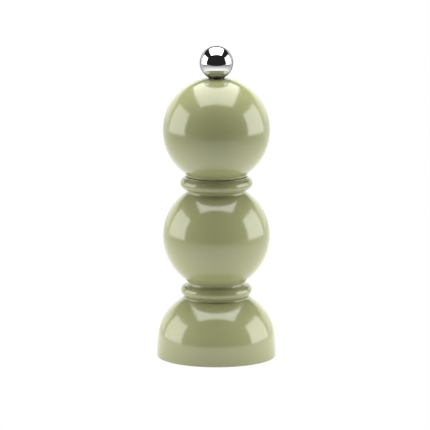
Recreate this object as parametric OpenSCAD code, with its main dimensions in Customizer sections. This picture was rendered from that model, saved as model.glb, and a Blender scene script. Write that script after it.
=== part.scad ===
// Pepper mill turned from wood and lacquered: a domed base, a middle ball and a head ball with a
// bead ring under each ball, and a chromed ball knob that sets the grind. A square spindle joins
// the knob to a ceramic burr in the base.
// Millimetres. The origin is the middle of the underside, and +Z points up along the mill's axis.
// Rest is the coarsest grind, with the head seated and the knob screwed down to its washer.

/* [Base] */
// Radius of the base's straight skirt
base_r = 34.1; // [33.5:0.1:35]
// Height of the straight skirt under the dome
skirt_h = 9.4; // [8.5:0.1:10]
// Height of the dome above the skirt, if it ran up to the axis
dome_h = 29.8; // [29.3:0.1:30.5]
// Rounding of the skirt's lower edge
foot_round = 0.8; // [0.5:0.1:1.2]
// Radius of the hollow in the underside
recess_r = 22; // [22:0.1:23]

/* [Middle ball and rings] */
// Radius of the middle ball
ball_r = 30.7; // [30.3:0.1:31.2]
// Height of the middle ball's centre
ball_z = 69.9; // [69.7:0.1:70.1]
// Outer radius of the lower bead ring
low_ring_r = 20.5; // [20.2:0.1:20.9]
// Outer radius of the upper bead ring
high_ring_r = 20.7; // [20.4:0.1:21]
// Radius of a bead's round section
bead_r = 3.3; // [3.2:0.05:3.4]
// Radius of the small coves beside the beads
cove_r = 1.25; // [1.1:0.05:1.3]

/* [Head] */
// Radius of the head ball
head_r = 30.6; // [30.2:0.1:31]
// Radius of the head's short foot, above the joint
foot_r = 17.5; // [17.3:0.1:17.8]
// Radius of the spigot that turns in the neck
spigot_r = 13.68; // [13.66:0.01:13.72]

/* [Knob] */
// Radius of the ball knob
knob_r = 9.55; // [9.2:0.05:9.9]

/* [Grinder] */
// Travel of the rotor from coarse to fine
grind_travel = 1.6; // [1:0.1:1.6]
// Side of the square spindle
spindle_w = 6; // [5.8:0.1:6]
// Number of grinding teeth on the rotor
rotor_teeth = 18; // [12:1:20]
// Number of grinding teeth in the stator
stator_teeth = 22; // [14:1:24]
// Number of turns in the spring
spring_turns = 3.5; // [3:0.5:4]

/* [Hidden] */

$fn = 96;
cut = 0.5; // how far a cutter runs past a face
turn_gap = 0.15; // between two faces that turn on each other
run_gap = 0.07; // between a shaft and the hole it turns in

sage = "#a3a57e";
nylon_black = "#26272a";
nylon_white = "#e8e4d8";
fibre_brown = "#5e4d34";
steel = "#b9bcc0";
brass = "#c9a356";
ceramic = "#ece8dd";
chrome = "#dfe3e8";

// Heights of the turned outline
low_ring_z = ball_z - 31.3; // the beads' centres lie a little beyond the ball's poles
high_ring_z = ball_z + 31;
shoulder_z = high_ring_z + 4; // the body's top face
lip_r = foot_r + 0.4; // the body's rim under the head
neck_gap = 0.65; // holds the neck washer
foot_lip_h = 0.35; // the rim of the head's foot hangs this far down round the washer
foot_lip_w = 0.6;
head_foot_z = shoulder_z + neck_gap; // the head's bottom face
head_drop = 25.9; // from the head ball's centre down to its foot
head_z = head_foot_z + head_drop;
head_flat = 0.54; // taken off the head's top, for the knob's washer
head_top_z = head_z + head_r - head_flat;
knob_gap = 0.45; // holds the knob washer
knob_foot_z = head_top_z + knob_gap;
knob_drop = 8.5; // from the knob's centre down to its flat foot
knob_z = knob_foot_z + knob_drop;

// Bores of the body, from the base up
flange_top_z = 8;
sleeve_bore_r = 17;
sleeve_top_z = 28;
funnel_z = sleeve_top_z + 3.2; // where the bore starts to narrow to the chamber
chamber_r = 13;
neck_bore_r = 14.5;
neck_bore_z = shoulder_z - 12.9; // the ledge under the neck liner

// Stator housing
flange_r = recess_r - 0.3;
flange_z = 6;
sleeve_r = sleeve_bore_r - 0.1;
stator_r = 15;
stator_z = 8.7;
stator_top_z = 20.4;
throat_r = 13.4; // the sleeve's bore above the stator
clip_groove_r = 15.8;
clip_groove_z = 7.6;
clip_groove_h = 1.1;
flange_screw_r = 19.3; // from the axis
flange_screw_angles = [90, 210, 330];

// Burr: a cone that widens downwards, so that lifting the rotor narrows the gap
rotor_z = 9.2;
rotor_top_z = 18.2;
rotor_low_r = 11;
burr_slope = 0.437; // radius lost for each millimetre of height
fine_gap = 0.3; // from tooth to tooth at the finest grind
burr_gap = fine_gap + grind_travel * burr_slope; // from tooth to tooth at rest
burr_angle = atan(burr_slope);
hex_r = 5.6; // corner radius of the seat's hexagon
square_hole_w = spindle_w + 0.2;
feed_top_z = 22;

// Spindle
spindle_end_z = 5.8;
spindle_round_r = 2.9;
square_z = flange_top_z;
square_top_z = head_top_z - grind_travel - 0.4; // stays below the head's top at the finest grind
square_corner_r = 4.1; // the bar's corners are turned down to this
thread_r = 2.5;
thread_pitch = 0.8;
thread_depth = 0.42;
thread_top_z = square_top_z + 12.8;
clip_z = 6.65;
clip_h = 0.7;
clip_neck_r = 2;

// Spring and its washer
washer_z = feed_top_z + turn_gap;
washer_h = 0.8;
wire_r = 0.4;
coil_r = 5.9;
spring_z = washer_z + washer_h + 0.1;

// Fasteners
flat_cap_r = 2.1;
flat_cap_h = 1.2;
flat_shank_r = 1.1;
flat_length = 10.5;
pan_cap_r = 1.9;
pan_cap_h = 1.1;
pan_shank_r = 1;
pilot_depth = 9; // of the flat screws' holes in the wood

// Bars across the sleeve
bar_w = 7;
bridge_h = 1.4;
bridge_screw_x = 15.1;
bush_r = 5.3;
strap_h = 1.2;
strap_screw_x = 18.7;
strap_hole_r = 3.6;

// Head
spigot_l = 12.55;
spigot_z = head_foot_z - spigot_l;
plate_h = 1.2;
plate_r = 12.6;
plate_screw_x = 9.3;
head_bore_r = 4.7;
insert_r = 3.6;
insert_top_z = knob_foot_z + 13;
insert_cap = 0.8; // closes the insert's blind top

function polar(r, a) = [r * cos(a), r * sin(a)];

// Where circles about p and q, of radii rp and rq, cross on the side away from the axis
function outer_crossing(p, rp, q, rq) =
    let (
        d = norm(q - p),
        u = (q - p) / d,
        along = (rp * rp - rq * rq + d * d) / (2 * d),
        aside = sqrt(rp * rp - along * along),
        side = u[1] > 0 ? [u[1], -u[0]] : [-u[1], u[0]]
    )
    p + along * u + aside * side;

// ---- Outline pieces, with x as the radius and y as the height ----

module disc_at(r, z, x = 0) {
    translate([x, z]) circle(r);
}

// The slab between two heights, out to radius r
module slab(r, z0, z1, r0 = 0) {
    translate([r0, z0]) square([r - r0, z1 - z0]);
}

// Fills the corner between two round pieces and leaves a cove that meets both of them
module cove(p, rp, q, rq, r) {
    c = outer_crossing(p, rp + r, q, rq + r);
    inside = 1.2; // how far the filler reaches into each piece
    corners = [
        p + (rp - inside) * (c - p) / norm(c - p),
        c,
        q + (rq - inside) * (c - q) / norm(c - q),
        [c[0] - 5, c[1]]
    ];
    difference() {
        polygon(q[1] > p[1] ? corners : [for (i = [3 : -1 : 0]) corners[i]]); // anticlockwise
        translate(c) circle(r + 0.01);
    }
}

module bead(ring_r, z) {
    core_h = bead_r * 0.8; // stops short of the bead's crown
    disc_at(bead_r, z, ring_r - bead_r);
    slab(ring_r - bead_r, z - core_h, z + core_h);
}

module base_outline() {
    intersection() {
        translate([0, skirt_h]) scale([1, dome_h / base_r]) circle(base_r);
        slab(base_r + 1, skirt_h, low_ring_z);
    }
    slab(base_r, foot_round, skirt_h);
    slab(base_r - foot_round, 0, foot_round);
    disc_at(foot_round, foot_round, base_r - foot_round);
}

module body_outline() {
    low_bead = [low_ring_r - bead_r, low_ring_z];
    high_bead = [high_ring_r - bead_r, high_ring_z];
    middle = [0, ball_z];
    neck_fill_r = 15.5;
    // The dome's upper part is close to a circle about this point, which places its cove
    dome_curve_r = base_r * base_r / dome_h * 0.93;
    dome_centre = [0, skirt_h + dome_h - dome_curve_r - 0.35];
    intersection() {
        union() {
            base_outline();
            disc_at(ball_r, ball_z);
            bead(low_ring_r, low_ring_z);
            bead(high_ring_r, high_ring_z);
            slab(neck_fill_r, low_ring_z, ball_z - 20);
            slab(neck_fill_r, ball_z + 20, high_ring_z);
            cove(middle, ball_r, low_bead, bead_r, cove_r);
            cove(middle, ball_r, high_bead, bead_r, cove_r);
            cove(dome_centre, dome_curve_r, low_bead, bead_r, cove_r * 0.8);
            slab(lip_r, high_ring_z, shoulder_z);
        }
        slab(base_r + 1, 0, shoulder_z);
    }
}

module head_outline() {
    intersection() {
        disc_at(head_r, head_z);
        slab(head_r + 1, head_foot_z, head_top_z);
    }
    slab(foot_r, head_foot_z, head_foot_z + 3);
    slab(foot_r, head_foot_z - foot_lip_h, head_foot_z + cut, foot_r - foot_lip_w);
    slab(spigot_r, spigot_z, head_foot_z + 3);
}

// ---- Fasteners, pointing up with the head's lower face at z = 0 ----

module cross_recess(w) {
    for (a = [0, 90]) rotate(a) cube([w, 0.5, 1], center = true);
}

module flat_head_screw() {
    tip_h = 1;
    difference() {
        union() {
            cylinder(h = flat_cap_h, r1 = flat_cap_r, r2 = flat_shank_r);
            translate([0, 0, flat_cap_h - 0.01])
                cylinder(h = flat_length - flat_cap_h - tip_h, r = flat_shank_r);
            translate([0, 0, flat_length - tip_h - 0.01])
                cylinder(h = tip_h, r1 = flat_shank_r, r2 = 0.3);
        }
        cross_recess(flat_cap_r * 1.2);
    }
}

module pan_head_screw(length, cap_r = pan_cap_r) {
    edge = 0.35; // chamfer of the head
    difference() {
        union() {
            cylinder(h = edge, r1 = cap_r - edge, r2 = cap_r);
            translate([0, 0, edge - 0.01]) cylinder(h = pan_cap_h - edge + 0.01, r = cap_r);
            cylinder(h = length, r = pan_shank_r);
        }
        cross_recess(cap_r * 1.2);
    }
}

// ---- Body ----

module body_shell() {
    color(sage) difference() {
        rotate_extrude() intersection() {
            difference() {
                body_outline();
                slab(recess_r, -cut, flange_top_z);
                slab(sleeve_bore_r, -cut, funnel_z);
                polygon([
                    [-cut, funnel_z - cut],
                    [sleeve_bore_r, funnel_z - cut],
                    [sleeve_bore_r, funnel_z],
                    [chamber_r, funnel_z + sleeve_bore_r - chamber_r],
                    [-cut, funnel_z + sleeve_bore_r - chamber_r]
                ]);
                slab(chamber_r, 0, shoulder_z + cut);
                slab(neck_bore_r, neck_bore_z, shoulder_z + cut);
            }
            slab(base_r + 1, -cut, shoulder_z + cut, chamber_r - cut);
        }
        for (a = flange_screw_angles) {
            rotate(a) translate([flange_screw_r, 0, flange_top_z - cut])
                cylinder(h = pilot_depth + cut, r = flat_shank_r);
        }
    }
}

module stator_housing() {
    color(nylon_black) difference() {
        rotate_extrude() difference() {
            union() {
                slab(flange_r, flange_z, flange_top_z);
                slab(sleeve_r, flange_z, sleeve_top_z);
            }
            translate([-1, 0]) {
                slab(stator_r + 1, flange_z - cut, stator_top_z);
                slab(throat_r + 1, 0, sleeve_top_z + cut);
                slab(clip_groove_r + 1, clip_groove_z, clip_groove_z + clip_groove_h);
            }
        }
        for (a = flange_screw_angles) {
            rotate(a) translate([flange_screw_r, 0, flange_z - 0.01]) {
                cylinder(h = flat_cap_h + 0.01, r1 = flat_cap_r + 0.06, r2 = flat_shank_r + 0.06);
                cylinder(h = 3, r = flat_shank_r + 0.06);
            }
        }
        for (side = [-1, 1]) {
            translate([side * strap_screw_x, 0, flange_z - cut])
                cylinder(h = flange_top_z - flange_z + 2 * cut, r = pan_shank_r);
            translate([0, side * bridge_screw_x, sleeve_top_z - 6])
                cylinder(h = 7, r = pan_shank_r);
        }
    }
}

// A groove cutter lying on a cone's surface, at radius r and height z, with its edge sunk in
module burr_groove(r, z, skew, w) {
    translate([r, 0, z])
        rotate([0, -burr_angle, 0])
            rotate([skew, 0, 0])
                rotate([0, 0, 45])
                    cube([w, w, 40], center = true);
}

module stator_ring() {
    low_r = rotor_low_r + burr_gap + (rotor_z - stator_z) * burr_slope;
    flare_z = 16.6; // the mouth opens above this
    cone_h = 13;
    color(ceramic) difference() {
        translate([0, 0, stator_z]) cylinder(h = stator_top_z - 0.05 - stator_z, r = stator_r - 0.05);
        translate([0, 0, stator_z - 1])
            cylinder(h = cone_h + 1, r1 = low_r + burr_slope, r2 = low_r - cone_h * burr_slope);
        translate([0, 0, flare_z]) cylinder(h = 4, r1 = 7.6, r2 = 13.6);
        for (i = [0 : stator_teeth - 1]) {
            rotate(i * 360 / stator_teeth) burr_groove(low_r - 1.9, 13, 12, 1.1);
        }
    }
}

// Snap ring with two eyes for pliers
module stator_retainer() {
    gap_angle = 24;
    inner_r = 14;
    eye_at = 12.9; // from the axis
    eye_r = 1.7;
    eye_hole_r = 0.7;
    eye_angle = gap_angle / 2 + 6;
    color(steel) translate([0, 0, clip_groove_z + 0.05]) linear_extrude(clip_groove_h - 0.15)
    difference() {
        union() {
            difference() {
                circle(clip_groove_r - 0.1);
                circle(inner_r);
                polygon([[0, 0], polar(30, -gap_angle / 2), polar(30, gap_angle / 2)]);
            }
            for (side = [-1, 1]) translate(polar(eye_at, side * eye_angle)) circle(eye_r);
        }
        for (side = [-1, 1]) translate(polar(eye_at, side * eye_angle)) circle(eye_hole_r);
    }
}

module housing_screws() {
    color(steel) for (a = flange_screw_angles) {
        rotate(a) translate([flange_screw_r, 0, flange_z]) flat_head_screw();
    }
}

module retaining_strap() {
    color(steel) translate([0, 0, flange_z - strap_h]) linear_extrude(strap_h) difference() {
        union() {
            square([2 * strap_screw_x, bar_w], center = true);
            circle(strap_hole_r + 2.8);
            for (side = [-1, 1]) translate([side * strap_screw_x, 0]) circle(bar_w / 2 - 0.9);
        }
        circle(strap_hole_r);
        for (side = [-1, 1]) translate([side * strap_screw_x, 0]) circle(pan_shank_r);
    }
}

module strap_screws() {
    color(steel) for (side = [-1, 1]) {
        translate([side * strap_screw_x, 0, flange_z - strap_h - pan_cap_h]) pan_head_screw(4.3);
    }
}

module spring_bridge() {
    color(steel) translate([0, 0, sleeve_top_z]) linear_extrude(bridge_h) difference() {
        union() {
            intersection() {
                square([bar_w, 2 * sleeve_r], center = true);
                circle(sleeve_r - 0.1);
            }
            circle(bush_r + 2.7);
        }
        circle(bush_r);
        for (side = [-1, 1]) translate([0, side * bridge_screw_x]) circle(pan_shank_r);
    }
}

module bridge_bush() {
    bush_bore_r = square_corner_r + 0.15;
    flange_h = 0.8;
    color(brass) translate([0, 0, sleeve_top_z]) rotate_extrude() {
        slab(bush_r, 0, bridge_h + flange_h, bush_bore_r);
        slab(bush_r + 1.4, bridge_h, bridge_h + flange_h, bush_r - 0.2);
    }
}

// Screws point down into the sleeve
module bridge_screws() {
    color(steel) for (side = [-1, 1]) {
        translate([0, side * bridge_screw_x, sleeve_top_z + bridge_h + pan_cap_h])
            rotate([180, 0, 0]) pan_head_screw(8, 1.7);
    }
}

// Round wire swept along a helix between the washer and the bridge
module spring() {
    sides = 8;
    turn_steps = 24;
    steps = spring_turns * turn_steps;
    low = spring_z + wire_r;
    rise = (sleeve_top_z - wire_r - 0.02 - low) / steps;
    rings = [
        for (i = [0 : steps])
            let (a = i * 360 / turn_steps, c = [coil_r * cos(a), coil_r * sin(a), low + i * rise])
            for (j = [0 : sides - 1])
                let (b = j * 360 / sides)
                c + wire_r * [cos(b) * cos(a), cos(b) * sin(a), sin(b)]
    ];
    walls = [
        for (i = [0 : steps - 1])
            for (j = [0 : sides - 1])
                let (k = (j + 1) % sides, n = i * sides)
                [n + k, n + sides + k, n + sides + j, n + j]
    ];
    ends = [
        [for (j = [sides - 1 : -1 : 0]) j],
        [for (j = [0 : sides - 1]) steps * sides + j]
    ];
    color(steel) polyhedron(rings, concat(walls, ends));
}

module neck_liner() {
    color(nylon_white) rotate_extrude()
        slab(neck_bore_r, neck_bore_z, shoulder_z - 0.3, spigot_r + run_gap);
}

// ---- Rotor and spindle ----

module thrust_washer() {
    color(nylon_white) translate([0, 0, washer_z]) rotate_extrude()
        slab(coil_r + wire_r + 0.4, 0, washer_h, 4.4);
}

module spindle() {
    turns = floor((thread_top_z - square_top_z - 2) / thread_pitch);
    color(steel) {
        translate([0, 0, square_z]) linear_extrude(square_top_z - square_z) intersection() {
            square(spindle_w, center = true);
            circle(square_corner_r);
        }
        rotate_extrude() {
            slab(spindle_round_r, clip_z + clip_h, square_z + 0.1);
            slab(clip_neck_r, spindle_end_z + 0.5, square_z);
            slab(spindle_round_r, spindle_end_z, clip_z);
        }
        rotate_extrude() polygon(concat(
            [[0, square_top_z - 0.1], [thread_r, square_top_z - 0.1], [thread_r, square_top_z + 0.8]],
            [
                for (i = [0 : turns - 1])
                    let (z = square_top_z + 0.8 + i * thread_pitch)
                    for (p = [[thread_r - thread_depth, 0.4], [thread_r, 0.72], [thread_r, 0.8]])
                        [p[0], z + p[1]]
            ],
            [[thread_r - 0.6, thread_top_z], [0, thread_top_z]]
        ));
    }
}

module rotor() {
    mid_z = (rotor_z + rotor_top_z) / 2;
    mid_r = rotor_low_r - (mid_z - rotor_z) * burr_slope;
    height = rotor_top_z - rotor_z;
    color(ceramic) difference() {
        translate([0, 0, rotor_z])
            cylinder(h = height, r1 = rotor_low_r, r2 = rotor_low_r - height * burr_slope);
        translate([0, 0, rotor_z - 1]) linear_extrude(height + 2) circle(hex_r + 0.05, $fn = 6);
        for (i = [0 : rotor_teeth - 1]) {
            rotate(i * 360 / rotor_teeth) burr_groove(mid_r + 0.1, mid_z, -16, 1.2);
        }
    }
}

// Steel seat that carries the rotor and turns it with a hexagon
module rotor_seat() {
    low_z = clip_z + clip_h + 0.15;
    seat_r = 8.3;
    color(steel) difference() {
        union() {
            translate([0, 0, low_z]) cylinder(h = rotor_z - low_z, r = seat_r);
            translate([0, 0, rotor_z - 0.1]) linear_extrude(rotor_top_z - rotor_z) circle(hex_r, $fn = 6);
        }
        translate([0, 0, 20]) cube([square_hole_w, square_hole_w, 40], center = true);
    }
}

// Hub with slanted fins that feeds the peppercorns down into the burr
module feed_cone() {
    hub_r = 5.6;
    fin_h = 3.4;
    color(nylon_black) translate([0, 0, rotor_top_z]) difference() {
        union() {
            cylinder(h = feed_top_z - rotor_top_z, r1 = hub_r + 0.6, r2 = hub_r);
            for (a = [0 : 90 : 270]) {
                rotate(a) translate([hub_r + 1, 0, fin_h / 2 + 0.1])
                    rotate([28, 0, 0]) cube([5, 1.3, fin_h - 0.6], center = true);
            }
        }
        cube([square_hole_w, square_hole_w, 20], center = true);
    }
}

module spindle_clip() {
    clip_r = 4.4;
    mouth_w = 2.4;
    color(steel) translate([0, 0, clip_z + 0.02]) linear_extrude(clip_h - 0.04) difference() {
        circle(clip_r);
        circle(clip_neck_r + 0.03);
        translate([0, -mouth_w / 2]) square([2 * clip_r, mouth_w]);
        for (a = [75, 285]) rotate(a) translate([2.6, 0]) circle(0.75); // relief notches
    }
}

// ---- Head ----

module neck_washer() {
    color(fibre_brown) translate([0, 0, shoulder_z + 0.1]) rotate_extrude()
        slab(foot_r - foot_lip_w - 0.3, 0, neck_gap - 0.25, spigot_r + 0.25);
}

module head_shell() {
    color(sage) difference() {
        rotate_extrude() difference() {
            intersection() {
                head_outline();
                slab(head_r + 1, spigot_z - cut, head_top_z + cut, head_bore_r - cut);
            }
            slab(head_bore_r, spigot_z - cut, head_top_z + cut);
        }
        for (side = [-1, 1]) {
            translate([side * plate_screw_x, 0, spigot_z - cut])
                cylinder(h = 7.6, r = pan_shank_r);
        }
    }
}

module drive_plate() {
    color(steel) translate([0, 0, spigot_z - plate_h]) linear_extrude(plate_h) difference() {
        circle(plate_r);
        square(square_hole_w, center = true);
        for (side = [-1, 1]) translate([side * plate_screw_x, 0]) circle(pan_shank_r);
    }
}

module drive_plate_screws() {
    color(steel) for (side = [-1, 1]) {
        translate([side * plate_screw_x, 0, spigot_z - plate_h - pan_cap_h]) pan_head_screw(9.2);
    }
}

// ---- Knob ----

module knob_washer() {
    color(fibre_brown) translate([0, 0, head_top_z + 0.1]) rotate_extrude()
        slab(insert_r + 0.4, 0, knob_gap - 0.2, thread_r + 0.3);
}

module knob() {
    color(chrome) rotate_extrude() difference() {
        intersection() {
            disc_at(knob_r, knob_z);
            slab(knob_r + 1, knob_foot_z, knob_z + knob_r + 1);
        }
        slab(insert_r, knob_foot_z - cut, insert_top_z);
    }
}

module knob_insert() {
    bore_r = thread_r + 0.1;
    color(brass) rotate_extrude() difference() {
        slab(insert_r, knob_foot_z + 0.1, insert_top_z);
        slab(bore_r, knob_foot_z - cut, insert_top_z - insert_cap);
    }
}

body_shell();
stator_housing();
stator_ring();
stator_retainer();
housing_screws();
retaining_strap();
strap_screws();
spring_bridge();
bridge_bush();
bridge_screws();
spring();
neck_liner();
thrust_washer();
spindle();
rotor();
rotor_seat();
feed_cone();
spindle_clip();
neck_washer();
head_shell();
drive_plate();
drive_plate_screws();
knob_washer();
knob();
knob_insert();
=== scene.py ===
import math

import bmesh
import bpy
import numpy as np
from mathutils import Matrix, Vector


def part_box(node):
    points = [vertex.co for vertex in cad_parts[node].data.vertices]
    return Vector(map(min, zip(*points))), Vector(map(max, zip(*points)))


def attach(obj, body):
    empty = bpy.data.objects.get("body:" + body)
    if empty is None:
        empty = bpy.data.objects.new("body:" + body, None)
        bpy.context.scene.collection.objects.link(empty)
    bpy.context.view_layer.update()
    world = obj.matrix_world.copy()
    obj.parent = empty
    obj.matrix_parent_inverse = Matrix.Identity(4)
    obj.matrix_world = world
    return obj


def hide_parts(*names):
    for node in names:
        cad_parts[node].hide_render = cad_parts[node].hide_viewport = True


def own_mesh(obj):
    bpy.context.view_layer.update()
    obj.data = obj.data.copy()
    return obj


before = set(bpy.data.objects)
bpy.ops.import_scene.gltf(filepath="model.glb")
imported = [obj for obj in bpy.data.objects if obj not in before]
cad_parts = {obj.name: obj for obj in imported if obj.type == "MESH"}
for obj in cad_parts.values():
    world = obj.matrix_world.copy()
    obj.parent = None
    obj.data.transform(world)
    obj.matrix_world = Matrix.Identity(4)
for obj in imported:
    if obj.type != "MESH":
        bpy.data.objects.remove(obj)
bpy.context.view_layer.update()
scene = bpy.context.scene
print("frame loaded:", len(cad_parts), "nodes")


cameraSetup = {
    "sensor": 36,
    "clipEnd": 20,
    "distance": 3.0,
    "elevation": 10.13,  # degrees above the table
    "aimX": -0.0008,
    "aimZ": 0.0822,
    "orbitZ": 0.09,  # the height that the camera's distance is taken from
    "lens": 438.4,
}


def makeCamera(c):
    e = math.radians(c["elevation"])
    data = bpy.data.cameras.new("camera")
    data.sensor_width = c["sensor"]
    data.lens = c["lens"]
    data.clip_end = c["clipEnd"]
    cam = bpy.data.objects.new("camera", data)
    scene.collection.objects.link(cam)
    cam.location = (c["aimX"], -c["distance"] * math.cos(e), c["orbitZ"] + c["distance"] * math.sin(e))
    toAim = Vector((c["aimX"], 0, c["aimZ"])) - cam.location
    cam.rotation_mode = "QUATERNION"
    cam.rotation_quaternion = toAim.to_track_quat("-Z", "Y")
    scene.camera = cam


makeCamera(cameraSetup)
scene.view_settings.view_transform = "Standard"


def addNode(tree, kind, values=None, **settings):
    node = tree.nodes.new(kind)
    for key, value in settings.items():
        setattr(node, key, value)
    for key, value in (values or {}).items():
        node.inputs[key].default_value = value
    return node


def startFinish(name, colour, roughness, **sockets):
    # A material with one Principled shader, with its plain values set on the shader itself
    mat = bpy.data.materials.new(name)
    mat.use_nodes = True
    shader = mat.node_tree.nodes["Principled BSDF"]
    shader.inputs["Base Color"].default_value = (*colour, 1)
    shader.inputs["Roughness"].default_value = roughness
    for key, value in sockets.items():
        shader.inputs[key.replace("_", " ")].default_value = value
    return mat, mat.node_tree, shader


def objectCoords(tree, stretch=(1, 1, 1)):
    coords = addNode(tree, "ShaderNodeTexCoord")
    mapping = addNode(tree, "ShaderNodeMapping", {"Scale": stretch})
    tree.links.new(coords.outputs["Object"], mapping.inputs["Vector"])
    return mapping.outputs["Vector"]


def noiseAt(tree, coords, scale, detail=3.0, distortion=0.0):
    # Fractal noise with its features about 1 / scale metres apart
    noise = addNode(tree, "ShaderNodeTexNoise", {"Scale": scale, "Detail": detail, "Distortion": distortion})
    tree.links.new(coords, noise.inputs["Vector"])
    return noise.outputs["Fac"]


def toRange(tree, value, low, high, fromLow=0.3, fromHigh=0.7):
    # Takes fromLow..fromHigh to low..high, and holds the ends
    node = addNode(tree, "ShaderNodeMapRange", {
        "From Min": fromLow, "From Max": fromHigh, "To Min": low, "To Max": high})
    tree.links.new(value, node.inputs["Value"])
    return node.outputs["Result"]


def mathNode(tree, operation, a, b):
    node = addNode(tree, "ShaderNodeMath", operation=operation)
    for socket, value in zip(node.inputs, (a, b)):
        if isinstance(value, (int, float)):
            socket.default_value = value
        else:
            tree.links.new(value, socket)
    return node.outputs["Value"]


def mixColours(tree, factor, a, b):
    # a where factor is 0, b where it is 1; a and b are colours or sockets
    node = addNode(tree, "ShaderNodeMix", data_type="RGBA")
    tree.links.new(factor, node.inputs["Factor"])
    for socket, value in ((node.inputs[6], a), (node.inputs[7], b)):
        if isinstance(value, tuple):
            socket.default_value = (*value, 1)
        else:
            tree.links.new(value, socket)
    return node.outputs[2]


def shaded(colour, factor):
    return tuple(c * factor for c in colour)


def bumpFrom(tree, shader, height, distance, onto=None):
    # Tilts the surface as if it rose by distance (metres) where height is 1
    bump = addNode(tree, "ShaderNodeBump", {"Distance": distance, "Strength": 1.0})
    tree.links.new(height, bump.inputs["Height"])
    if onto is not None:
        tree.links.new(onto, bump.inputs["Normal"])
    tree.links.new(bump.outputs["Normal"], shader.inputs["Normal"])
    return bump.outputs["Normal"]


def radiusAt(tree):
    # Distance from the mill's axis, in metres
    coords = addNode(tree, "ShaderNodeTexCoord")
    flat = addNode(tree, "ShaderNodeVectorMath", operation="MULTIPLY")
    flat.inputs[1].default_value = (1, 1, 0)
    length = addNode(tree, "ShaderNodeVectorMath", operation="LENGTH")
    tree.links.new(coords.outputs["Object"], flat.inputs[0])
    tree.links.new(flat.outputs["Vector"], length.inputs[0])
    return length.outputs["Value"]


def heightAt(tree):
    coords = addNode(tree, "ShaderNodeTexCoord")
    split = addNode(tree, "ShaderNodeSeparateXYZ")
    tree.links.new(coords.outputs["Object"], split.inputs["Vector"])
    return split.outputs["Z"]


lacquerLook = {
    "colour": (0.32, 0.331, 0.161),
    "roughness": (0.13, 0.17),
    "refraction": 1.62,
    "cloudScale": 45,  # slow drift of the colour, about 22 mm across
    "speckScale": 2600,  # pigment specks
    "scuffScale": 900,
    "scuffColour": (0.34, 0.27, 0.16),
    "smudgeScale": 70,
    "peelScale": 650,  # sprayed lacquer's fine waviness
    "peelHeight": 2.5e-6,
    "latheScale": 420,  # faint rings that the turning left under the lacquer
    "latheHeight": 1.2e-6,
    "scuffHeight": 0.0011,  # the foot's rim is scuffed below this
}


def lacquerFinish(look):
    mat, tree, shader = startFinish("sage_lacquer", look["colour"], 0.15, IOR=look["refraction"])
    coords = objectCoords(tree)
    cloud = noiseAt(tree, coords, look["cloudScale"], 4)
    speck = noiseAt(tree, coords, look["speckScale"], 1)
    drift = toRange(tree, cloud, 0, 1)
    colour = mixColours(tree, drift, shaded(look["colour"], 0.975), shaded(look["colour"], 1.025))
    fleck = toRange(tree, speck, 0, 0.35, 0.66, 0.78)  # a few darker pigment specks
    colour = mixColours(tree, fleck, colour, shaded(look["colour"], 0.82))
    # Scuffs on the rim that the mill stands on
    scuff = noiseAt(tree, coords, look["scuffScale"], 5, 0.6)
    low = toRange(tree, heightAt(tree), 1, 0, 0.0, look["scuffHeight"])
    worn = mathNode(tree, "MULTIPLY", toRange(tree, scuff, 0, 1, 0.5, 0.62), low)
    colour = mixColours(tree, worn, colour, look["scuffColour"])
    tree.links.new(colour, shader.inputs["Base Color"])
    smudge = noiseAt(tree, coords, look["smudgeScale"], 5, 0.8)
    rough = toRange(tree, smudge, *look["roughness"])
    rough = mathNode(tree, "ADD", rough, mathNode(tree, "MULTIPLY", worn, 0.3))
    tree.links.new(rough, shader.inputs["Roughness"])
    peel = noiseAt(tree, coords, look["peelScale"], 2)
    normal = bumpFrom(tree, shader, peel, look["peelHeight"])
    rings = noiseAt(tree, objectCoords(tree, (0.02, 0.02, 1)), look["latheScale"], 2)
    bumpFrom(tree, shader, rings, look["latheHeight"], normal)
    return mat


woodLook = {
    "early": (0.62, 0.42, 0.235),
    "late": (0.43, 0.25, 0.12),
    "ringGap": 0.0042,  # between growth rings
    "poreScale": 4200,
    "fleckScale": 1500,
    "poreDepth": 3.5e-5,
    "pithAt": (0.055, 0.03, 0),  # the log's centre, well off the mill's axis
}


def bareWoodFinish(look):
    # Beech, with growth rings round a pith off to one side, fine pores along Z and short ray flecks
    mat, tree, shader = startFinish("bare_beech", look["early"], 0.6, IOR=1.4)
    coords = addNode(tree, "ShaderNodeTexCoord")
    mapping = addNode(tree, "ShaderNodeMapping", {"Location": look["pithAt"], "Scale": (1, 1, 0.08)})
    tree.links.new(coords.outputs["Object"], mapping.inputs["Vector"])
    bands = addNode(tree, "ShaderNodeTexWave", {
        "Scale": 1 / look["ringGap"] / 6.5, "Distortion": 2.4, "Detail": 3, "Detail Scale": 1.5},
        wave_type="RINGS", rings_direction="Z")
    tree.links.new(mapping.outputs["Vector"], bands.inputs["Vector"])
    lateShare = toRange(tree, bands.outputs["Fac"], 0, 0.75, 0.25, 0.95)
    grain = mixColours(tree, lateShare, look["early"], look["late"])
    pores = noiseAt(tree, objectCoords(tree, (1, 1, 0.05)), look["poreScale"], 2)
    grain = mixColours(tree, toRange(tree, pores, 0, 0.4, 0.58, 0.7), grain, shaded(look["late"], 0.6))
    flecks = noiseAt(tree, objectCoords(tree, (1, 1, 0.3)), look["fleckScale"], 1)
    grain = mixColours(tree, toRange(tree, flecks, 0, 0.3, 0.64, 0.72), grain, shaded(look["early"], 1.2))
    tree.links.new(grain, shader.inputs["Base Color"])
    tree.links.new(toRange(tree, pores, 0.5, 0.72), shader.inputs["Roughness"])
    bumpFrom(tree, shader, pores, look["poreDepth"])
    return mat


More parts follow.
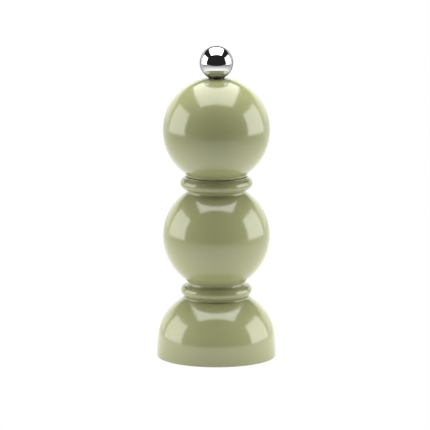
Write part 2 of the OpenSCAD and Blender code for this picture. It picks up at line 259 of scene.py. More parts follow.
chromeLook = {
    "colour": (0.68, 0.684, 0.69),
    "roughness": (0.025, 0.05),
    "rim": (0.25, 0.25, 0.25, 1),  # chromium reflects less near grazing
    "smudgeScale": 260,
    "hairScale": 900,  # fine wiping scratches
    "waveScale": 300,
    "waveHeight": 1.5e-6,
}


def chromeFinish(look):
    mat, tree, shader = startFinish(
        "polished_chrome", look["colour"], 0.04, Metallic=1.0, Specular_Tint=look["rim"])
    coords = objectCoords(tree)
    smudge = noiseAt(tree, coords, look["smudgeScale"], 5, 1.2)
    hairs = noiseAt(tree, objectCoords(tree, (1, 1, 9)), look["hairScale"], 4, 0.4)
    rough = toRange(tree, smudge, *look["roughness"])
    scratch = toRange(tree, hairs, 0, 0.03, 0.6, 0.75)
    tree.links.new(mathNode(tree, "ADD", rough, scratch), shader.inputs["Roughness"])
    tint = mixColours(tree, toRange(tree, smudge, 0, 1), shaded(look["colour"], 0.97), look["colour"])
    tree.links.new(tint, shader.inputs["Base Color"])
    bumpFrom(tree, shader, noiseAt(tree, coords, look["waveScale"], 1), look["waveHeight"])
    return mat


def metalFinish(name, colour, roughness, lines, stretch):
    # Drawn, rolled or turned metal: fine lines along one direction, set by stretch, with slow tarnish
    mat, tree, shader = startFinish(name, colour, sum(roughness) / 2, Metallic=1.0)
    strokes = noiseAt(tree, objectCoords(tree, stretch), lines, 4)
    tarnish = noiseAt(tree, objectCoords(tree), 180, 5, 0.7)
    tint = mixColours(tree, toRange(tree, strokes, 0, 1), shaded(colour, 0.84), shaded(colour, 1.08))
    tint = mixColours(tree, toRange(tree, tarnish, 0, 0.45, 0.5, 0.72), tint, shaded(colour, 0.7))
    tree.links.new(tint, shader.inputs["Base Color"])
    rough = toRange(tree, strokes, *roughness)
    rough = mathNode(tree, "ADD", rough, toRange(tree, tarnish, 0, 0.12, 0.5, 0.72))
    tree.links.new(rough, shader.inputs["Roughness"])
    bumpFrom(tree, shader, strokes, 4e-6)
    return mat


def turnedMetalFinish(name, colour, roughness, pitch):
    # Turned metal: tool rings a pitch apart, round the mill's axis and down its length
    mat, tree, shader = startFinish(name, colour, sum(roughness) / 2, Metallic=1.0)
    reach = mathNode(tree, "ADD", radiusAt(tree), heightAt(tree))
    phase = mathNode(tree, "MULTIPLY", reach, 2 * math.pi / pitch)
    waver = mathNode(tree, "MULTIPLY", noiseAt(tree, objectCoords(tree), 500, 3), 5.0)
    rings = mathNode(tree, "SINE", mathNode(tree, "ADD", phase, waver), 0)
    tone = toRange(tree, rings, 0, 1, -1, 1)
    tint = mixColours(tree, tone, shaded(colour, 0.88), shaded(colour, 1.06))
    tarnish = noiseAt(tree, objectCoords(tree), 220, 5, 0.7)
    tint = mixColours(tree, toRange(tree, tarnish, 0, 0.4, 0.5, 0.72), tint, shaded(colour, 0.65))
    tree.links.new(tint, shader.inputs["Base Color"])
    tree.links.new(toRange(tree, tarnish, *roughness), shader.inputs["Roughness"])
    bumpFrom(tree, shader, tone, 2e-6)
    return mat


def ceramicFinish():
    # Unglazed sintered ceramic: chalky, with fine grains, and grey rub marks scattered by a slow noise
    colour = (0.80, 0.765, 0.68)
    mat, tree, shader = startFinish("burr_ceramic", colour, 0.5, IOR=1.6)
    coords = objectCoords(tree)
    grains = noiseAt(tree, coords, 5200, 3)
    stain = noiseAt(tree, coords, 240, 5, 0.8)
    tint = mixColours(tree, toRange(tree, grains, 0, 1), shaded(colour, 0.9), shaded(colour, 1.05))
    tint = mixColours(tree, toRange(tree, stain, 0, 0.4, 0.48, 0.7), tint, (0.46, 0.38, 0.27))
    tree.links.new(tint, shader.inputs["Base Color"])
    tree.links.new(toRange(tree, grains, 0.42, 0.62), shader.inputs["Roughness"])
    bumpFrom(tree, shader, grains, 1.2e-5)
    return mat


def nylonFinish(name, colour, roughness, grain):
    # Moulded nylon: a fine spark-eroded grain with smooth, slightly shinier flow patches
    mat, tree, shader = startFinish(name, colour, roughness, IOR=1.53)
    coords = objectCoords(tree)
    spark = noiseAt(tree, coords, grain, 3)
    flow = noiseAt(tree, coords, 110, 3, 1.5)
    tint = mixColours(tree, toRange(tree, flow, 0, 1), shaded(colour, 0.88), shaded(colour, 1.1))
    dust = toRange(tree, noiseAt(tree, coords, 1300, 5), 0, 0.25, 0.6, 0.75)
    tint = mixColours(tree, dust, tint, (0.30, 0.25, 0.19))
    tree.links.new(tint, shader.inputs["Base Color"])
    rough = toRange(tree, flow, roughness - 0.07, roughness + 0.07)
    rough = mathNode(tree, "ADD", rough, toRange(tree, spark, -0.03, 0.05))
    tree.links.new(rough, shader.inputs["Roughness"])
    bumpFrom(tree, shader, spark, 1e-5)
    return mat


def fibreFinish():
    # Pressed fibre sheet: short matted fibres, a waxy sheen and darker oil marks
    colour = (0.13, 0.105, 0.05)
    mat, tree, shader = startFinish("brown_fibre", colour, 0.55, IOR=1.5)
    felt = noiseAt(tree, objectCoords(tree, (1, 1, 6)), 2300, 5, 1.4)
    oil = noiseAt(tree, objectCoords(tree), 320, 4, 0.7)
    tint = mixColours(tree, toRange(tree, felt, 0, 1), shaded(colour, 0.78), shaded(colour, 1.18))
    tint = mixColours(tree, toRange(tree, oil, 0, 0.5, 0.5, 0.66), tint, shaded(colour, 0.5))
    tree.links.new(tint, shader.inputs["Base Color"])
    tree.links.new(toRange(tree, oil, 0.6, 0.42), shader.inputs["Roughness"])
    bumpFrom(tree, shader, felt, 1.5e-5)
    return mat


steelColour = (0.56, 0.565, 0.575)
finishes = {
    "lacquer": lacquerFinish(lacquerLook),
    "wood": bareWoodFinish(woodLook),
    "chrome": chromeFinish(chromeLook),
    "barSteel": metalFinish("drawn_steel", steelColour, (0.2, 0.34), 2600, (1, 1, 0.03)),
    "stripSteel": metalFinish("rolled_strip", steelColour, (0.24, 0.4), 2600, (0.03, 1, 1)),
    "bridgeSteel": metalFinish("rolled_bridge", steelColour, (0.24, 0.4), 2600, (1, 0.03, 1)),
    "screwSteel": turnedMetalFinish("screw_steel", (0.6, 0.6, 0.6), (0.22, 0.36), 0.00024),
    "turnedSteel": turnedMetalFinish("turned_steel", steelColour, (0.2, 0.36), 0.00022),
    "springSteel": metalFinish("spring_steel", (0.47, 0.47, 0.485), (0.2, 0.32), 3000, (1, 1, 1)),
    "brass": turnedMetalFinish("turned_brass", (0.76, 0.56, 0.24), (0.18, 0.32), 0.0002),
    "ceramic": ceramicFinish(),
    "blackNylon": nylonFinish("black_nylon", (0.021, 0.021, 0.023), 0.42, 5200),
    "whiteNylon": nylonFinish("white_nylon", (0.74, 0.70, 0.60), 0.4, 4200),
    "fibre": fibreFinish(),
}
print("finishes made:", len(finishes))


def arcPoints(centre, radius, fromDeg, toDeg, steps):
    # centre + radius (cos a, sin a), with a running evenly from fromDeg to toDeg
    a = np.radians(np.linspace(fromDeg, toDeg, steps + 1))
    return np.column_stack([centre[0] + radius * np.cos(a), centre[1] + radius * np.sin(a)])


def linePoints(p, q, gap=0.0016, hold=0.00008):
    # From p to q, with evenly spaced points and one close to each end, which keeps the shading flat
    p, q = np.array(p, float), np.array(q, float)
    length = np.linalg.norm(q - p)
    t = np.linspace(0, 1, max(2, int(length / gap) + 2))
    if length > 4 * hold:
        t = np.sort(np.concatenate([t, [hold / length, 1 - hold / length]]))
    return p + (q - p) * t[:, None]


def joined(parts):
    # One outline from its stretches, without the points that two stretches share, and the number of
    # the stretch that each step is on
    points, owner = [parts[0][0]], []
    for number, part in enumerate(parts):
        for p in part:
            if np.linalg.norm(p - points[-1]) > 2e-6:
                points.append(p)
                owner.append(number)
    return np.array(points), np.array(owner)


def angleTo(p, q):
    return math.degrees(math.atan2(q[1] - p[1], q[0] - p[0]))


def outerCrossing(p, rp, q, rq):
    # Where circles about p and q, of radii rp and rq, cross on the side away from the axis
    p, q = np.array(p), np.array(q)
    d = np.linalg.norm(q - p)
    u = (q - p) / d
    along = (rp * rp - rq * rq + d * d) / (2 * d)
    side = np.array([u[1], -u[0]]) if u[1] > 0 else np.array([-u[1], u[0]])
    return p + along * u + math.sqrt(rp * rp - along * along) * side


def skin(name, rows, materials, rowMaterial=None, loop=False, startPole=None, endPole=None):
    # rows[j, i]: j runs along the shape, i anticlockwise round it; each quad joins ring j to ring j + 1.
    # loop joins the last ring to the first, and a pole closes an end with a fan.
    along, around = rows.shape[:2]
    j = np.arange(along if loop else along - 1)[:, None]
    i = np.arange(around)[None, :]
    here, after = j * around, (j + 1) % along * around
    quads = np.stack([here + i, here + (i + 1) % around, after + (i + 1) % around, after + i], -1)
    faces = quads.reshape(-1, 4).tolist()
    points = rows.reshape(-1, 3)
    ring = np.arange(around)
    for pole, first, flip in ((startPole, 0, True), (endPole, (along - 1) * around, False)):
        if pole is not None:
            tip = np.full(around, len(points))
            points = np.vstack([points, pole])
            a, b = first + ring, first + (ring + 1) % around
            faces += np.column_stack([b, a, tip] if flip else [a, b, tip]).tolist()
    mesh = bpy.data.meshes.new(name)
    mesh.from_pydata(points.tolist(), [], faces)
    mesh.polygons.foreach_set("use_smooth", np.ones(len(faces), bool))
    for material in materials:
        mesh.materials.append(material)
    if rowMaterial is not None:
        index = np.zeros(len(faces), int)
        index[:len(j) * around] = np.repeat(rowMaterial, around)
        mesh.polygons.foreach_set("material_index", index)
    mesh.update()
    piece = bpy.data.objects.new(name, mesh)
    scene.collection.objects.link(piece)
    return piece


def turnedRows(outline, around):
    # (r cos a, r sin a, z) for each point (r, z) of the outline and a full turn of a
    a = np.linspace(0, 2 * np.pi, around, endpoint=False)
    r, z = outline[:, :1], outline[:, 1:]
    return np.stack([r * np.cos(a), r * np.sin(a), z + 0 * a], -1)


def place(piece, body, slot, *nodes):
    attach(piece, body)
    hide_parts(*nodes)
    return piece


bodyDesign = {
    "around": 224,
    "skirtH": 0.0094,
    "domeH": 0.0298,
    "domeCurve": 0.93,  # share of the dome's radius of curvature that fits its upper part
    "domeCurveDrop": 0.00035,
    "footRound": 0.0008,
    "ballR": 0.0307,
    "shoulderAbove": 0.004,  # from the upper bead's centre to the top face
    "ballBelow": 0.031,  # from the upper bead's centre down to the ball's
    "lowRingBelow": 0.0313,
    "lowRingR": 0.0205,
    "highRingR": 0.0207,
    "beadR": 0.0033,
    "coveR": 0.00125,
    "domeCoveR": 0.001,
    "lipR": 0.0179,
    "lipRound": 0.00022,
    "neckBoreR": 0.0145,
    "neckBoreH": 0.0129,
    "chamberR": 0.013,
    "coneTopZ": 0.0352,
    "funnelZ": 0.0312,
    "sleeveR": 0.017,
    "recessR": 0.022,
    "recessH": 0.008,
    "recessRound": 0.0006,
}


def bodyOutline(d):
    # Up the outside, over the lip, down the bore and out along the underside
    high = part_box("body_shell")[1]
    baseR, top = high.x, high.z
    highBead = (d["highRingR"] - d["beadR"], top - d["shoulderAbove"])
    ball = (0, highBead[1] - d["ballBelow"])
    lowBead = (d["lowRingR"] - d["beadR"], ball[1] - d["lowRingBelow"])
    domeCurveR = baseR ** 2 / d["domeH"] * d["domeCurve"]
    dome = (0, d["skirtH"] + d["domeH"] - domeCurveR - d["domeCurveDrop"])
    beadR, coveR, domeCoveR = d["beadR"], d["coveR"], d["domeCoveR"]
    cove1 = outerCrossing(dome, domeCurveR + domeCoveR, lowBead, beadR + domeCoveR)
    cove2 = outerCrossing(ball, d["ballR"] + coveR, lowBead, beadR + coveR)
    cove3 = outerCrossing(ball, d["ballR"] + coveR, highBead, beadR + coveR)
    meet = dome + (cove1 - dome) * domeCurveR / np.linalg.norm(cove1 - dome)
    lastT = math.atan2((meet[1] - d["skirtH"]) / d["domeH"], meet[0] / baseR)
    t = np.linspace(0, lastT - 0.012, 56)
    domeArc = np.column_stack([baseR * np.cos(t), d["skirtH"] + d["domeH"] * np.sin(t)])
    lipStart = math.degrees(math.acos((d["lipR"] - highBead[0]) / beadR))
    lipZ = highBead[1] + beadR * math.sin(math.radians(lipStart))
    foot, lip, hollow = d["footRound"], d["lipRound"], d["recessRound"]

    def coveArc(centre, low, up, radius, steps):
        a, b = angleTo(centre, low) % 360, angleTo(centre, up) % 360
        return arcPoints(centre, radius, a, b, steps)

    outside = [
        arcPoints((baseR - foot, foot), foot, -90, 0, 8),
        linePoints((baseR, foot), (baseR, d["skirtH"])),
        domeArc,
        coveArc(cove1, dome, lowBead, domeCoveR, 12),
        arcPoints(lowBead, beadR, angleTo(lowBead, cove1), angleTo(lowBead, cove2), 30),
        coveArc(cove2, lowBead, ball, coveR, 12),
        arcPoints(ball, d["ballR"], angleTo(ball, cove2), angleTo(ball, cove3), 84),
        coveArc(cove3, ball, highBead, coveR, 12),
        arcPoints(highBead, beadR, angleTo(highBead, cove3), lipStart, 30),
        linePoints((d["lipR"], lipZ), (d["lipR"], top - lip)),
        arcPoints((d["lipR"] - lip, top - lip), lip, 0, 90, 5),
        linePoints((d["lipR"] - lip, top), (d["neckBoreR"] + lip, top)),
    ]
    neckZ = top - d["neckBoreH"]
    inside = [
        arcPoints((d["neckBoreR"] + lip, top - lip), lip, 90, 180, 5),
        linePoints((d["neckBoreR"], top - lip), (d["neckBoreR"], neckZ)),
        linePoints((d["neckBoreR"], neckZ), (d["chamberR"] + lip, neckZ)),
        arcPoints((d["chamberR"] + lip, neckZ - lip), lip, 90, 180, 5),
        linePoints((d["chamberR"], neckZ - lip), (d["chamberR"], d["coneTopZ"]), 0.006),
        linePoints((d["chamberR"], d["coneTopZ"]), (d["sleeveR"], d["funnelZ"])),
        linePoints((d["sleeveR"], d["funnelZ"]), (d["sleeveR"], d["recessH"]), 0.006),
        linePoints((d["sleeveR"], d["recessH"]), (d["recessR"], d["recessH"])),
        linePoints((d["recessR"], d["recessH"]), (d["recessR"], hollow)),
        arcPoints((d["recessR"] + hollow, hollow), hollow, 180, 270, 6),
        linePoints((d["recessR"] + hollow, 0), (baseR - foot, 0)),
    ]
    outline, owner = joined(outside + inside)
    bare = (owner >= len(outside)).astype(int)
    return outline[:-1], bare


def makeBody(d):
    outline, bare = bodyOutline(d)
    rows = turnedRows(outline, d["around"])
    piece = skin("turned_body", rows, [finishes["lacquer"], finishes["wood"]], bare, loop=True)
    return place(piece, "mill_body", "lacquer", "body_shell")


makeBody(bodyDesign)
print("body turned")


headDesign = {
    "around": 224,
    "flat": 0.00054,  # taken off the ball's top
    "footR": 0.0175,
    "footRound": 0.00028,
    "lipH": 0.00035,  # the foot's rim, which hangs round the washer
    "lipW": 0.0006,
    "spigotR": 0.01368,
    "spigotH": 0.01255,
    "spigotRound": 0.0005,
    "boreR": 0.0047,
    "boreRound": 0.0003,
}


def headOutline(d):
    # Up the spigot, out over the foot and its rim, round the ball, then over the top and down the bore
    low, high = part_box("head_shell")
    headR, top, bottom = high.x, high.z, low.z
    centre = (0, top + d["flat"] - headR)
    footZ = bottom + d["spigotH"]
    meetDeg = -math.degrees(math.acos(d["footR"] / headR))
    topDeg = math.degrees(math.asin((top - centre[1]) / headR))
    topR = headR * math.cos(math.radians(topDeg))
    foot, end, rim = d["footRound"], d["spigotRound"], d["boreRound"]
    lipZ, lipR = footZ - d["lipH"], d["footR"] - d["lipW"]
    meetZ = centre[1] + headR * math.sin(math.radians(meetDeg))
    parts = [
        arcPoints((d["spigotR"] - end, bottom + end), end, -90, 0, 6),
        linePoints((d["spigotR"], bottom + end), (d["spigotR"], footZ)),
        linePoints((d["spigotR"], footZ), (lipR, footZ)),
        linePoints((lipR, footZ), (lipR, lipZ)),
        linePoints((lipR, lipZ), (d["footR"] - foot, lipZ)),
        arcPoints((d["footR"] - foot, lipZ + foot), foot, -90, 0, 6),
        linePoints((d["footR"], lipZ + foot), (d["footR"], meetZ)),
        arcPoints(centre, headR, meetDeg, topDeg, 120),
        linePoints((topR, top), (d["boreR"] + rim, top)),
        arcPoints((d["boreR"] + rim, top - rim), rim, 90, 180, 5),
        linePoints((d["boreR"], top - rim), (d["boreR"], bottom + rim), 0.006),
        arcPoints((d["boreR"] + rim, bottom + rim), rim, 180, 270, 5),
        linePoints((d["boreR"] + rim, bottom), (d["spigotR"] - end, bottom)),
    ]
    outline, owner = joined(parts)
    firstLacquered, lastLacquered = 2, 9  # from the foot's face to the bore's rounded rim
    bare = ((owner < firstLacquered) | (owner > lastLacquered)).astype(int)
    return outline[:-1], bare


def makeHead(d):
    outline, bare = headOutline(d)
    rows = turnedRows(outline, d["around"])
    piece = skin("turned_head", rows, [finishes["lacquer"], finishes["wood"]], bare, loop=True)
    return place(piece, "head", "lacquer", "head_shell")


makeHead(headDesign)


knobDesign = {
    "around": 192,
    "boreR": 0.0036,
    "boreTopBelow": 0.00505,  # from the knob's top down to its bore's end
    "footRound": 0.00025,
    "firstR": 0.0004,  # of the ring round the bore's pole
    "lastDeg": 89.2,  # of the ring round the ball's pole
}


def makeKnob(d):
    # A ball cut flat below, with its socket
    low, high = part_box("knob")
    knobR, footZ = high.x, low.z
    centre = (0, high.z - knobR)
    boreTop = high.z - d["boreTopBelow"]
    edge = d["footRound"]
    footDeg = -math.degrees(math.asin((centre[1] - footZ - edge) / (knobR - edge)))
    edgeR = (knobR - edge) * math.cos(math.radians(footDeg))
    outline, _ = joined([
        linePoints((d["firstR"], boreTop), (d["boreR"], boreTop)),
        linePoints((d["boreR"], boreTop), (d["boreR"], footZ), 0.004),
        linePoints((d["boreR"], footZ), (edgeR, footZ)),
        arcPoints((edgeR, footZ + edge), edge, -90, footDeg, 4),
        arcPoints(centre, knobR, footDeg, d["lastDeg"], 110),
    ])
    rows = turnedRows(outline, d["around"])
    piece = skin("ball_knob", rows, [finishes["chrome"]], startPole=(0, 0, boreTop), endPole=(0, 0, high.z))
    return place(piece, "knob_group", "chrome", "knob")


makeKnob(knobDesign)
print("head and knob turned")


spindleDesign = {
    "around": 96,
    "halfWidth": 0.003,
    "cornerR": 0.0041,
    "endR": 0.0029,
    "neckR": 0.002,
    "neckZ": (0.00665, 0.00735),
    "squareZ": (0.008, 0.15951),
    "cornerBlend": 90000.0,  # sharpness of the soft minimum, in 1 / m
    "edge": 0.0002,  # chamfer on the round end and on the square's corners
    "step": 0.00001,  # height of a shoulder, so that it shades as a sharp one
    "threadR": 0.0025,
    "threadDepth": 0.00042,
    "pitch": 0.0008,
    "leadOut": 0.0009,  # plain end above the thread
}


def barRadius(a, d, inset=0.0):
    # A square bar with its corners turned down to cornerR: the smaller of the two, blended by a soft minimum
    flat = (d["halfWidth"] - inset) / np.maximum(np.abs(np.cos(a)), np.abs(np.sin(a)))
    sharp = d["cornerBlend"]
    return -np.logaddexp(-flat * sharp, -(d["cornerR"] - inset) * sharp) / sharp


def makeSpindle(d):
    # Rings up the bar: a round end with a groove, the square, the thread and a chamfered tip
    bottom, top = (corner.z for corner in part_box("spindle"))
    a = np.linspace(0, 2 * np.pi, d["around"], endpoint=False)
    low, high = d["squareZ"]
    edge, step = d["edge"], d["step"]
    rings = []  # (z, radius round the ring)

    def disc(z, r):
        rings.append((z, np.full(len(a), r)))

    disc(bottom, d["endR"] - edge)
    disc(bottom + edge * 0.3, d["endR"] - edge * 0.3)
    disc(bottom + edge, d["endR"])
    neckLow, neckHigh = d["neckZ"]
    disc(neckLow - step, d["endR"])
    disc(neckLow, d["neckR"])
    disc(neckHigh, d["neckR"])
    disc(neckHigh + step, d["endR"])
    disc(low, d["endR"])
    rings.append((low + step, barRadius(a, d, edge)))
    for z in np.linspace(low + edge, high - 3 * edge, 60):
        rings.append((z, barRadius(a, d)))
    rings.append((high - step, barRadius(a, d, 3 * edge)))
    disc(high, d["threadR"] * 0.98)
    # Thread: the radius falls and rises once in each pitch, and the phase turns with the angle
    threadEnd = top - d["leadOut"]
    for z in np.arange(high + 0.0001, threadEnd, d["pitch"] / 10):
        phase = ((z - high) / d["pitch"] - a / (2 * np.pi)) % 1
        tooth = np.clip(2.6 * np.abs(phase - 0.5) - 0.12, 0, 1)
        fade = min(1.0, (z - high) / d["pitch"], (threadEnd - z) / (0.6 * d["pitch"]))
        rings.append((z, d["threadR"] - d["threadDepth"] * (1 - tooth) * fade))
    disc(threadEnd, d["threadR"] - 0.0001)
    disc(top - 0.00015, d["threadR"] - 0.00065)
    disc(top, d["threadR"] - 0.0009)
    rows = np.array([np.column_stack([r * np.cos(a), r * np.sin(a), np.full(len(a), z)]) for z, r in rings])
    piece = skin("drive_spindle", rows, [finishes["barSteel"]],
                 startPole=(0, 0, bottom), endPole=(0, 0, top))
    return place(piece, "spindle_group", "steel", "spindle")


makeSpindle(spindleDesign)


burrDesign = {
    "slope": 0.437,
    "rotorLowR": 0.011,
    "rotorZ": (0.0092, 0.0182),
    "rotorTeeth": 18,
    "rotorTwist": -14.0,  # radians of slant for each metre of height
    "hexR": 0.00565,
    "hexChamfer": 0.0002,
    "chamfer": 0.0003,
    "crestGap": 0.00005,  # keeps the rotor's crests inside the cone
    "grooveDepth": 0.00085,
    "statorR": 0.01495,
    "statorZ": (0.0087, 0.02035),
    "statorLowR": 0.0122,  # crests of the stator's teeth at its foot
    "statorTeeth": 22,
    "statorTwist": 11.0,
    "flareZ": 0.0166,
    "flareR": 0.0132,
    "throatR": 0.0088,  # at the flare's foot
}


def toothWave(a, z, teeth, twist):
    # 0 on a tooth's crest and 1 in the groove: steep on the cutting side, sloped on the other
    phase = (teeth * (a - twist * z) / (2 * np.pi)) % 1
    rise = np.clip(phase / 0.5, 0, 1)
    fall = np.clip((1 - phase) / 0.22, 0, 1)
    wave = np.minimum(rise, fall)
    return wave * wave * (3 - 2 * wave)


def ringRows(a, heights, radii):
    # Rows of (r cos a, r sin a, z), with a radius for every angle and height
    r = np.array(radii)
    z = np.array(heights)[:, None] + 0 * a
    return np.stack([r * np.cos(a), r * np.sin(a), z], -1)


def makeRotor(d):
    # A toothed cone round a hexagonal bore, with a chamfer at each end
    low, high = d["rotorZ"]
    a = np.linspace(0, 2 * np.pi, d["rotorTeeth"] * 16, endpoint=False)
    chamfer = d["chamfer"]
    toothed = np.linspace(low + 2 * chamfer, high - 2 * chamfer, 26)
    steps = np.concatenate([[low + chamfer], toothed, [high - chamfer]])
    outer = []
    for z in steps:
        cone = d["rotorLowR"] - (z - low) * d["slope"] - d["crestGap"]
        outer.append(cone - d["grooveDepth"] * toothWave(a, z, d["rotorTeeth"], d["rotorTwist"]))
    sixth = np.pi / 3
    hexagon = d["hexR"] * math.cos(sixth / 2) / np.cos((a % sixth) - sixth / 2)
    rim = d["hexChamfer"]
    heights = [low, *steps, high, high, high - rim, low + rim, low]
    radii = [outer[0] - chamfer, *outer, outer[-1] - chamfer, hexagon + rim, hexagon, hexagon, hexagon + rim]
    piece = skin("burr_rotor", ringRows(a, heights, radii), [finishes["ceramic"]], loop=True)
    return place(piece, "spindle_group", "burr_ceramic", "rotor")


def makeStator(d):
    # A plain ring outside; inside, a toothed cone below and a smooth flare above, whichever is wider
    low, high = d["statorZ"]
    a = np.linspace(0, 2 * np.pi, d["statorTeeth"] * 14, endpoint=False)
    plain = np.full(len(a), d["statorR"])
    edge = d["chamfer"]
    heights = [low, low + edge, high - edge, high]
    radii = [plain - edge, plain, plain, plain - edge]
    for z in np.linspace(high, low, 40):
        crest = d["statorLowR"] - (z - low) * d["slope"]
        flare = d["flareR"] - (high - z) * (d["flareR"] - d["throatR"]) / (high - d["flareZ"])
        depth = d["grooveDepth"] * toothWave(a, z, d["statorTeeth"], d["statorTwist"])
        heights.append(z)
        radii.append(np.maximum(crest + depth, flare))
    piece = skin("burr_stator", ringRows(a, heights, radii), [finishes["ceramic"]], loop=True)
    return place(piece, "mill_body", "burr_ceramic", "stator_ring")


makeRotor(burrDesign)
makeStator(burrDesign)
print("spindle and burr made")


springDesign = {
    "coilR": 0.0059,
    "wireR": 0.0004,
    "turns": 3.5,
    "ease": 0.55,  # how much flatter the end turns lie
    "endShare": 0.75,  # the wire's end is this much of its thickness
    "topZ": 0.028,  # the bridge's lower face
    "keep": 0.677,  # share of the height left at the finest grind
}


def makeSpring(d):
    # A round wire on a helix whose rise eases off at both ends, where the end turns lie flatter
    low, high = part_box("spring")
    bottomZ, topZ = low.z + d["wireR"], high.z - d["wireR"]
    t = np.linspace(0, 1, 300)
    a = 2 * np.pi * d["turns"] * t
    rise = t - np.sin(2 * np.pi * t) / (2 * np.pi) * d["ease"]
    z = bottomZ + (topZ - bottomZ) * rise
    centre = np.column_stack([d["coilR"] * np.cos(a), d["coilR"] * np.sin(a), z])
    out = np.column_stack([np.cos(a), np.sin(a), 0 * a])
    up = np.array([0, 0, 1])
    b = np.linspace(0, 2 * np.pi, 20, endpoint=False)
    wire = d["wireR"] * np.ones(len(t))
    wire[[0, -1]] *= d["endShare"]
    ring = np.cos(b)[None, :, None] * out[:, None] - np.sin(b)[None, :, None] * up
    rows = centre[:, None] + wire[:, None, None] * ring
    piece = skin("coil_spring", rows, [finishes["springSteel"]],
                 startPole=centre[0], endPole=centre[-1])
    place(piece, "mill_body", "spring_steel", "spring")
    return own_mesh(piece)


makeSpring(springDesign)
print("spring wound")


# Sheet pieces whose cut edges are rolled over: node, body, finish, slot and the edge's width
stampings = {
    "pressed_strap": ("retaining_strap", "mill_body", "stripSteel", "steel", 0.00018),
    "pressed_bridge": ("spring_bridge", "mill_body", "bridgeSteel", "steel", 0.00018),
    "pressed_plate": ("drive_plate", "head", "turnedSteel", "steel", 0.00015),
    "snap_ring": ("stator_retainer", "mill_body", "springSteel", "spring_steel", 0.00015),
    "moulded_housing": ("stator_housing", "mill_body", "blackNylon", "black_nylon", 0.00016),
    "spindle_snap": ("spindle_clip", "spindle_group", "springSteel", "spring_steel", 0.00012),
}


def makeStamping(name, node, body, finish, slot, width):
    # A merged copy of the node, with every edge over 40 degrees rounded to the given width
    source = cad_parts[node]
    work = bmesh.new()
    work.from_mesh(source.data)
    work.transform(source.matrix_world)
    bmesh.ops.remove_doubles(work, verts=work.verts, dist=2e-6)
    bmesh.ops.dissolve_limit(work, angle_limit=math.radians(0.6), verts=work.verts, edges=work.edges)
    for face in work.faces:
        face.smooth = False
    cut = [e for e in work.edges if len(e.link_faces) == 2 and e.calc_face_angle(0) > math.radians(40)]
    rolled = bmesh.ops.bevel(
        work, geom=cut, offset=width, segments=3, profile=0.5, affect="EDGES", clamp_overlap=True)
    for face in rolled["faces"]:
        face.smooth = True
    bmesh.ops.triangulate(work, faces=work.faces)
    mesh = bpy.data.meshes.new(name)
    work.to_mesh(mesh)
    work.free()
    mesh.materials.append(finishes[finish])
    piece = bpy.data.objects.new(name, mesh)
    scene.collection.objects.link(piece)
    return place(piece, body, slot, node)


for name, details in stampings.items():
    makeStamping(name, *details)
print("stampings:", len(stampings))


# The nodes that keep their CAD shape, and the finish of each
nodeFinishes = {
    "housing_screws": "screwSteel",
    "strap_screws": "screwSteel",
    "bridge_bush": "brass",
    "bridge_screws": "screwSteel",
    "neck_liner": "whiteNylon",
    "thrust_washer": "whiteNylon",
    "rotor_seat": "turnedSteel",
    "feed_cone": "blackNylon",
    "neck_washer": "fibre",
    "drive_plate_screws": "screwSteel",
    "knob_washer": "fibre",
    "knob_insert": "brass",
}


def dressNode(name, finish):
    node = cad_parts[name]
    if not node.material_slots:
        node.data.materials.append(finish)
    for slot in node.material_slots:
        slot.material = finish


for nodeName, finishName in nodeFinishes.items():
    dressNode(nodeName, finishes[finishName])
print("nodes dressed:", len(nodeFinishes))


studio = {
    "tableSeen": 1.0,  # the table as the camera sees it
    "tableNear": 1.72,  # and as it lights the mill, close by
    "tableFar": 0.4,  # and further out
    "tableSpread": 0.38,
    "tableBehind": 0.55,  # added behind the mill
    "footShade": 0.5,  # share left right beside the mill, which shades the table there
    "footSpread": 0.06,
    "tableFront": 0.63,
    "tableZ": -0.0002,
    "behindY": (0.1, 0.5),  # where that starts and is full
    "tableReach": 12.0,
    "panelAt": 1.15,
    "sideLight": {-1: 4.6, 1: 5.2},  # the left and right panels at their front edges
    "sideFade": 0.52,  # share left at their back edges
    "sideNear": -0.34,  # their edges, as shares of panelAt
    "sideFar": 0.64,
    "sideHigh": 0.6,
    "topAt": 1.6,  # above the mill's top
    "topLight": 4.7,
    "topWide": 0.66,  # its edges, as shares of topAt
    "topNear": -0.46,
    "topFar": 1.35,
    "millTop": 0.18,
    "dark": 0.025,
    "backdrop": 1.4,
    "backdropY": (0.6, 0.66),  # directions: where the backdrop starts and is full
    "backdropZ": (0.3, 0.4),  # and where it ends above
}


def emitter(name, corners, build):
    # A flat sheet of light, whose shader build makes
    mesh = bpy.data.meshes.new(name)
    mesh.from_pydata([tuple(c) for c in corners], [], [tuple(range(len(corners)))])
    mat = bpy.data.materials.new(name)
    mat.use_nodes = True
    mat.node_tree.nodes.clear()
    out = addNode(mat.node_tree, "ShaderNodeOutputMaterial")
    mat.node_tree.links.new(build(mat.node_tree), out.inputs["Surface"])
    mesh.materials.append(mat)
    sheet = bpy.data.objects.new(name, mesh)
    scene.collection.objects.link(sheet)
    return sheet


def oneSided(tree, strength):
    # Light from the front face only; the back lets light through
    glow = addNode(tree, "ShaderNodeEmission", {"Strength": strength})
    clear = addNode(tree, "ShaderNodeBsdfTransparent")
    facing = addNode(tree, "ShaderNodeNewGeometry")
    mix = addNode(tree, "ShaderNodeMixShader")
    tree.links.new(facing.outputs["Backfacing"], mix.inputs["Fac"])
    tree.links.new(glow.outputs["Emission"], mix.inputs[1])
    tree.links.new(clear.outputs["BSDF"], mix.inputs[2])
    return glow, mix.outputs["Shader"]


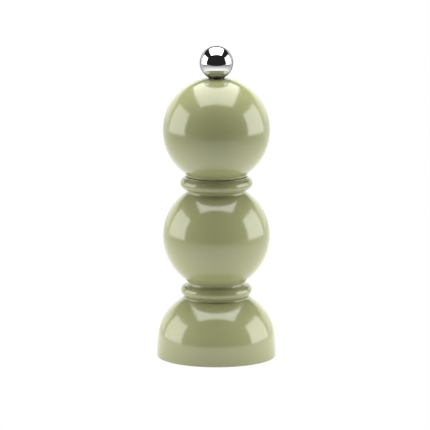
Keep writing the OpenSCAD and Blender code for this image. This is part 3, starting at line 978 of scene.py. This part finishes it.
def sideShader(tree, strength):
    # Brightest at the panel's front edge, fading towards the back
    glow, out = oneSided(tree, strength)
    coords = addNode(tree, "ShaderNodeTexCoord")
    split = addNode(tree, "ShaderNodeSeparateXYZ")
    tree.links.new(coords.outputs["Object"], split.inputs["Vector"])
    near, far = (studio["panelAt"] * studio[end] for end in ("sideNear", "sideFar"))
    fade = toRange(tree, split.outputs["Y"], strength, strength * studio["sideFade"], near, far)
    tree.links.new(fade, glow.inputs["Strength"])
    return out


def tableShader(tree):
    # Seen white all over; lights the mill only from the table's front edge back
    glow, out = oneSided(tree, 1)
    coords = addNode(tree, "ShaderNodeTexCoord")
    split = addNode(tree, "ShaderNodeSeparateXYZ")
    tree.links.new(coords.outputs["Object"], split.inputs["Vector"])
    onTable = mathNode(tree, "GREATER_THAN", split.outputs["Y"], -studio["tableFront"])
    squared = mathNode(tree, "POWER", radiusAt(tree), 2)
    near, foot = (
        mathNode(tree, "POWER", math.e, mathNode(tree, "MULTIPLY", squared, -studio[spread] ** -2))
        for spread in ("tableSpread", "footSpread"))
    lit = toRange(tree, near, studio["tableFar"], studio["tableNear"], 0, 1)
    lit = mathNode(tree, "MULTIPLY", lit, toRange(tree, foot, 1, studio["footShade"], 0, 1))
    behind = toRange(tree, split.outputs["Y"], 0, studio["tableBehind"], *studio["behindY"])
    lit = mathNode(tree, "ADD", lit, behind)
    light = addNode(tree, "ShaderNodeMix", {"A": studio["dark"]})
    tree.links.new(onTable, light.inputs["Factor"])
    tree.links.new(lit, light.inputs["B"])
    light = light.outputs["Result"]
    path = addNode(tree, "ShaderNodeLightPath")
    seen = addNode(tree, "ShaderNodeMix", {"B": studio["tableSeen"]})
    tree.links.new(path.outputs["Is Camera Ray"], seen.inputs["Factor"])
    tree.links.new(light, seen.inputs["A"])
    tree.links.new(seen.outputs["Result"], glow.inputs["Strength"])
    return out


def makeStudio(s):
    z, reach = s["tableZ"], s["tableReach"]
    corners = [(-reach, -reach, z), (reach, -reach, z), (reach, reach, z), (-reach, reach, z)]
    emitter("table", corners, tableShader)
    d = s["panelAt"]
    top = s["millTop"] + s["sideHigh"] * d
    for side in (-1, 1):
        x = side * d
        near, far = s["sideNear"] * d, s["sideFar"] * d
        corners = [(x, near, z), (x, far, z), (x, far, top), (x, near, top)]
        if side > 0:
            corners.reverse()
        panel = emitter(f"side_panel_{side}", corners, lambda tree: sideShader(tree, s["sideLight"][side]))
        panel.visible_camera = False
    h = s["topAt"]
    w, near, far = s["topWide"] * h, s["topNear"] * h, s["topFar"] * h
    zTop = s["millTop"] + h
    corners = [(-w, near, zTop), (-w, far, zTop), (w, far, zTop), (w, near, zTop)]
    panel = emitter("top_panel", corners, lambda tree: oneSided(tree, s["topLight"])[1])
    panel.visible_camera = False


def makeWorld(s):
    # White to the camera; for the light, dark but for a low white backdrop behind the mill
    world = bpy.data.worlds.new("studio_world")
    scene.world = world
    world.use_nodes = True
    tree = world.node_tree
    background = tree.nodes["Background"]
    background.inputs["Color"].default_value = (1, 1, 1, 1)
    coords = addNode(tree, "ShaderNodeTexCoord")
    split = addNode(tree, "ShaderNodeSeparateXYZ")
    tree.links.new(coords.outputs["Generated"], split.inputs["Vector"])
    behind = toRange(tree, split.outputs["Y"], 0, 1, *s["backdropY"])
    low = toRange(tree, split.outputs["Z"], 1, 0, *s["backdropZ"])
    lit = toRange(tree, mathNode(tree, "MULTIPLY", behind, low), s["dark"], s["backdrop"], 0, 1)
    path = addNode(tree, "ShaderNodeLightPath")
    mix = addNode(tree, "ShaderNodeMix", {"B": 1.0})
    tree.links.new(path.outputs["Is Camera Ray"], mix.inputs["Factor"])
    tree.links.new(lit, mix.inputs["A"])
    tree.links.new(mix.outputs["Result"], background.inputs["Strength"])


makeStudio(studio)
makeWorld(studio)
print("studio lit")


bpy.context.view_layer.update()
